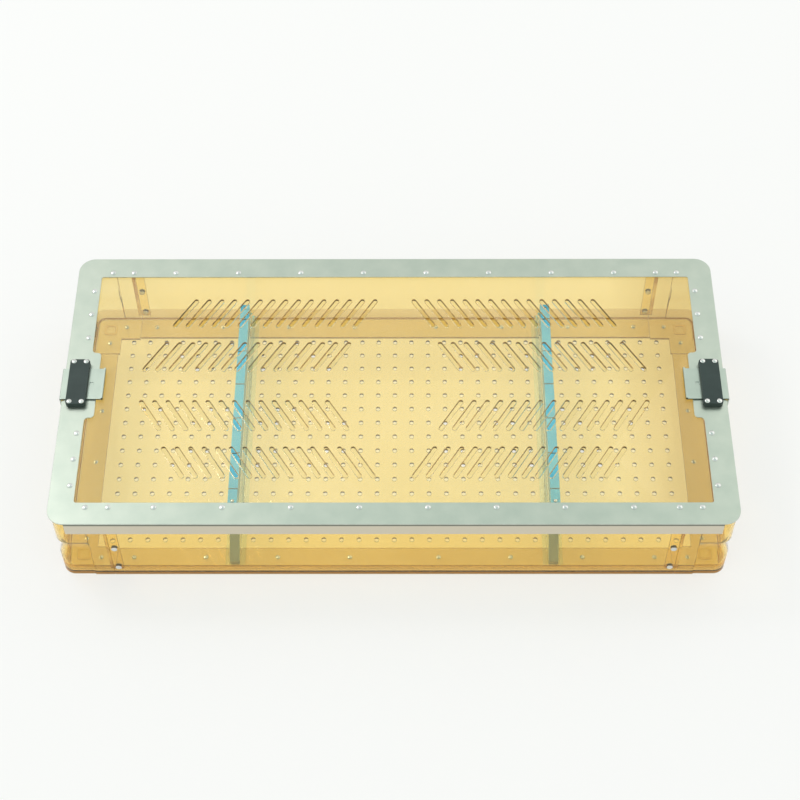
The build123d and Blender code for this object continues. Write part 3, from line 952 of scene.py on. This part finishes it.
def makeLidFrame():
    low, high = sizeOf("lid_frame")
    halfX, halfY, top = high.x, high.y, high.z
    sheet, band, corner = lidSizes["sheet"], lidSizes["band"], lidSizes["cornerRadius"]
    notch, notchX = lidSizes["notchHalf"], halfX - lidSizes["notchDepth"]
    tight = lidSizes["notchRadius"]
    outer = roundedOutline([
        (-halfX, -halfY, corner), (halfX, -halfY, corner), (halfX, -notch, 0),
        (notchX, -notch, tight), (notchX, notch, tight), (halfX, notch, 0),
        (halfX, halfY, corner), (-halfX, halfY, corner), (-halfX, notch, 0),
        (-notchX, notch, tight), (-notchX, -notch, tight), (-halfX, -notch, 0),
    ], 10)
    openX, openY = halfX - band, halfY - band
    tabX, tabY = openX - lidSizes["tabReach"], lidSizes["tabHalf"]
    small, wide = lidSizes["openingRadius"], lidSizes["tabRadius"]
    opening = roundedOutline([
        (-openX, -openY, small), (openX, -openY, small), (openX, -tabY, wide),
        (tabX, -tabY, wide), (tabX, tabY, wide), (openX, tabY, wide),
        (openX, openY, small), (-openX, openY, small), (-openX, tabY, wide),
        (-tabX, tabY, wide), (-tabX, -tabY, wide), (-openX, -tabY, wide),
    ], 6)
    work = bmesh.new()
    addSheet(work, outer, [opening], top - sheet, top, lidSizes["edge"])
    bottom, back, bend = low.z, lidSizes["setBack"], lidSizes["bend"]
    drop, edge = top - sheet - lidSizes["skirtSeat"], lidSizes["skirtEdge"]
    section = [(back, drop), (back, bottom + edge), (back + edge, bottom), (back + sheet, bottom)]
    for step in range(lidSizes["bendSteps"]):  # the inside of the bend
        turn = math.pi / 2 * step / lidSizes["bendSteps"]
        across, down = bend * (1 - math.cos(turn)), bend * (1 - math.sin(turn))
        section.append((back + sheet + across, drop - down))
    section.append((back + sheet + bend, drop))
    for side in (-1, 1):
        runs = [((-halfX + corner, halfX - corner), True, side * halfY)]
        for start, end in ((-halfY + corner, -notch), (notch, halfY - corner)):
            runs.append(((start, end), False, side * halfX))
        for (start, end), alongX, face in runs:
            rings = []
            for place in (start, end):
                ring = [(face - side * depth, height) for depth, height in section]
                if alongX:
                    rings.append([(place, across, height) for across, height in ring])
                else:
                    rings.append([(across, place, height) for across, height in ring])
            addLoft(work, rings)
    makePiece("lidFrameSheet", work, aluminium, "lid_frame")


makeLidFrame()
print("lid frame made")


# Lid panel: four mirrored rows of slanted, round-ended slots

panelSizes = {
    "slotPitch": 12.0, "slots": 15, "slotWidth": 4.0, "slotLength": 38.0, "slotAngle": 58.0,
    "rows": ((33.0, 51.2), (83.8, 27.2)), "cornerRadius": 3.0, "edge": 0.3,
}


def makeLidPanel():
    low, high = sizeOf("lid_panel")
    holes = []
    for rowY, firstX in panelSizes["rows"]:
        for side in (-1, 1):
            slant = math.radians(panelSizes["slotAngle"]) * side
            for number in range(panelSizes["slots"]):
                x = firstX + number * panelSizes["slotPitch"]
                size = (panelSizes["slotLength"], panelSizes["slotWidth"])
                holes.append(slotOutline(-x, side * rowY, *size, slant))
                holes.append(slotOutline(x, side * rowY, *size, math.pi - slant))
    work = bmesh.new()
    outer = rectangleOutline(high.x, high.y, panelSizes["cornerRadius"])
    addSheet(work, outer, holes, low.z, high.z, panelSizes["edge"])
    makePiece("lidPanelSheet", work, amberPanel, "lid_panel")


makeLidPanel()
print("lid panel made")


# Rivets: domed heads where the CAD heads stand

def makeRivets(name, node, width, height):
    source = bmesh.new()
    source.from_mesh(frame["nodes"][node].data)
    bmesh.ops.remove_doubles(source, verts=source.verts, dist=mergeDistance)
    waiting = set(source.verts)
    work = bmesh.new()
    for first in source.verts:
        if first not in waiting:
            continue
        waiting.remove(first)
        cluster, border = set(), [first]
        while border:
            vert = border.pop()
            cluster.add(vert)
            near = {link.other_vert(vert) for link in vert.link_edges} & waiting
            waiting -= near
            border += near
        low = Vector([min(v.co[axis] for v in cluster) for axis in range(3)]) / mm
        high = Vector([max(v.co[axis] for v in cluster) for axis in range(3)]) / mm
        size = high - low
        axis = min(range(3), key=lambda n: size[n])
        middle = (low + high) / 2
        outward = 1.0
        if name == "wallRivets":  # each joint has a head outside and one inside
            outer = sizeOf("right_wall")[1].x if axis == 0 else sizeOf("back_wall")[1].y
            outside = abs(middle[axis]) > outer - 1
            outward = math.copysign(1.0, middle[axis]) * (1 if outside else -1)
        elif axis == 0:
            outward = math.copysign(1.0, middle[axis])
        normal = Vector([outward if n == axis else 0.0 for n in range(3)])
        seat = middle.copy()
        seat[axis] = low[axis] if outward > 0 else high[axis]
        addDome(work, seat, normal, width, height)
    source.free()
    makePiece(name, work, rivetSteel, node, sharpAngle=50)


rivetSizes = {
    "lidRivets": ("lid_rivets", 5.2, 1.0),
    "wallRivets": ("wall_rivets", 5.6, 1.0),
    "floorRivets": ("floor_rivets", 4.6, 0.9),
    "latchRivetsLeft": ("latch_rivets_left", 4.8, 0.8),
    "latchRivetsRight": ("latch_rivets_right", 4.8, 0.8),
    "strikeRivetsLeft": ("strike_rivets_left", 5.0, 1.0),
    "strikeRivetsRight": ("strike_rivets_right", 5.0, 1.0),
    "dividerPins": ("divider_pins", 3.4, 0.7),
}

for pieceName, (nodeName, width, height) in rivetSizes.items():
    makeRivets(pieceName, nodeName, width, height)
print("rivets made")


# Latches, strikes and dividers: the CAD forms with softened edges

softEdges = {
    "latch_plate": ("latchPlate", 0.25, 0.0, latchSteel, "latch_steel"),
    "latch_cover": ("latchCover", 0.5, 0.0, coverPlastic, "black_cover"),
    "latch_spring": ("latchSpring", 0.08, 0.0, latchSteel, "latch_steel"),
    "strike": ("strikeStrip", 0.2, 0.0, latchSteel, "latch_steel"),
    "divider_channel": ("dividerChannel", 0.3, 0.08, clearPlastic, "clear_plastic"),
    "divider_strip": ("dividerStrip", 0.4, 0.22, silicone, "blue_silicone"),
}

for nodeName, (pieceName, width, gap, material, slotName) in softEdges.items():
    for side in ("left", "right"):
        softenedCopy(
            pieceName + side.title(), nodeName + "_" + side, width, gap, material,
        )
print("latches and dividers made")


# Stage, light and camera

stageLook = {
    "halfSize": 4.0, "drop": 0.0002, "rough": 0.9, "gloss": 0.2, "fibre": 0.995,
    "colour": (0.955, 0.958, 0.945), "paintedAmberLight": (0.98, 0.89, 0.64), "pale": 0.70,
    "sky": (0.97, 0.975, 0.96), "zenith": (0.66, 0.79, 0.76), "zenithFrom": (0.76, 0.85),
    "skyLight": 0.93,
}


def makeStage():
    half = stageLook["halfSize"]
    mesh = bpy.data.meshes.new("table")
    corners = [(-half, -half, 0), (half, -half, 0), (half, half, 0), (-half, half, 0)]
    mesh.from_pydata(corners, [], [(0, 1, 2, 3)])
    table = bpy.data.objects.new("table", mesh)
    bpy.context.scene.collection.objects.link(table)
    table.location.z = -stageLook["drop"]
    paper = Finish("tablePaper", {
        "Roughness": stageLook["rough"], "Specular IOR Level": stageLook["gloss"],
    })
    fibre = paper.effect(grainGroup, {"Scale": 3.0, "Detail": 2.0})
    white = stageLook["colour"]
    grey = tuple(value * stageLook["fibre"] for value in white)
    paper.colour(paper.blend(fibre, white, grey))
    pale = paper.nodes.new("ShaderNodeEmission")
    mixer = paper.nodes.new("ShaderNodeMixShader")
    seen, throughAmber = seenRays(paper.nodes, paper.links, stageLook["pale"])
    # painted light: the table seen through glass glows warm yellow, as if lit by amber light
    # through the tray
    paper.links.new(paper.blend(throughAmber, white, stageLook["paintedAmberLight"]), pale.inputs["Color"])
    paper.links.new(seen, mixer.inputs["Fac"])
    paper.links.new(paper.shader.outputs["BSDF"], mixer.inputs[1])
    paper.links.new(pale.outputs["Emission"], mixer.inputs[2])
    paper.links.new(mixer.outputs["Shader"], paper.nodes["Material Output"].inputs["Surface"])
    mesh.materials.append(paper.material)


def makeSky():
    world = bpy.data.worlds.new("studio")
    bpy.context.scene.world = world
    world.use_nodes = True
    nodes, links = world.node_tree.nodes, world.node_tree.links
    output = nodes["World Output"]
    light = nodes["Background"]
    light.inputs["Strength"].default_value = stageLook["skyLight"]
    shown = nodes.new("ShaderNodeBackground")
    shown.inputs["Strength"].default_value = 1.0
    direction = nodes.new("ShaderNodeTexCoord")
    height = nodes.new("ShaderNodeSeparateXYZ")
    overhead = mapNode(nodes, *stageLook["zenithFrom"])
    tint = nodes.new("ShaderNodeMix")
    tint.data_type = "RGBA"
    tint.inputs[6].default_value = (*stageLook["sky"], 1.0)
    tint.inputs[7].default_value = (*stageLook["zenith"], 1.0)
    links.new(direction.outputs["Generated"], height.inputs[0])
    links.new(height.outputs["Z"], overhead.inputs["Value"])
    links.new(overhead.outputs["Result"], tint.inputs["Factor"])
    mixer = nodes.new("ShaderNodeMixShader")
    seen, _ = seenRays(nodes, links, 1.0)
    links.new(seen, mixer.inputs["Fac"])
    for number, background in ((1, light), (2, shown)):
        links.new(tint.outputs[2], background.inputs["Color"])
        links.new(background.outputs[0], mixer.inputs[number])
    links.new(mixer.outputs[0], output.inputs["Surface"])


lampLooks = {
    "keyLamp": {"place": (-1.6, 0.8, 2.2), "size": 3.0, "power": 9.5, "colour": (1.0, 0.99, 0.96)},
    "fillLamp": {"place": (1.9, 1.3, 2.0), "size": 2.4, "power": 9.0, "colour": (1.0, 0.98, 0.93)},
    "cornerLamp": {
        "place": (-1.25, 0.9, 2.05), "size": 0.5, "power": 7.0, "colour": (1.0, 0.94, 0.98),
    },
}


def makeLamps():
    for name, look in lampLooks.items():
        lamp = bpy.data.lights.new(name, "AREA")
        lamp.size = look["size"]
        lamp.energy = look["power"]
        lamp.color = look["colour"]
        holder = bpy.data.objects.new(name, lamp)
        bpy.context.scene.collection.objects.link(holder)
        holder.location = look["place"]
        holder.rotation_euler = (-Vector(look["place"])).to_track_quat("-Z", "Y").to_euler()


cameraLook = {
    "place": (0.0120, -0.9759, 1.4172), "tiltDown": 54.195, "turn": -0.399, "roll": -0.360,
    "lens": 81.76, "sensor": 36.0,
}


def makeCamera():
    tilt, turn, roll = (math.radians(cameraLook[key]) for key in ("tiltDown", "turn", "roll"))
    forward = Vector((
        math.sin(turn) * math.cos(tilt), math.cos(turn) * math.cos(tilt), -math.sin(tilt),
    ))
    level = Vector((math.cos(turn), -math.sin(turn), 0))
    upright = level.cross(forward)
    right = math.cos(roll) * level + math.sin(roll) * upright
    up = right.cross(forward)
    camera = bpy.data.cameras.new("photoCamera")
    camera.lens = cameraLook["lens"]
    camera.sensor_width = cameraLook["sensor"]
    holder = bpy.data.objects.new("photoCamera", camera)
    bpy.context.scene.collection.objects.link(holder)
    axes = Matrix((right, up, -forward)).transposed().to_4x4()
    holder.matrix_world = Matrix.Translation(cameraLook["place"]) @ axes
    bpy.context.scene.camera = holder


makeStage()
makeSky()
makeLamps()
makeCamera()
bpy.context.scene.view_settings.view_transform = "Standard"
print("stage, light and camera made")

bpy.context.view_layer.update()
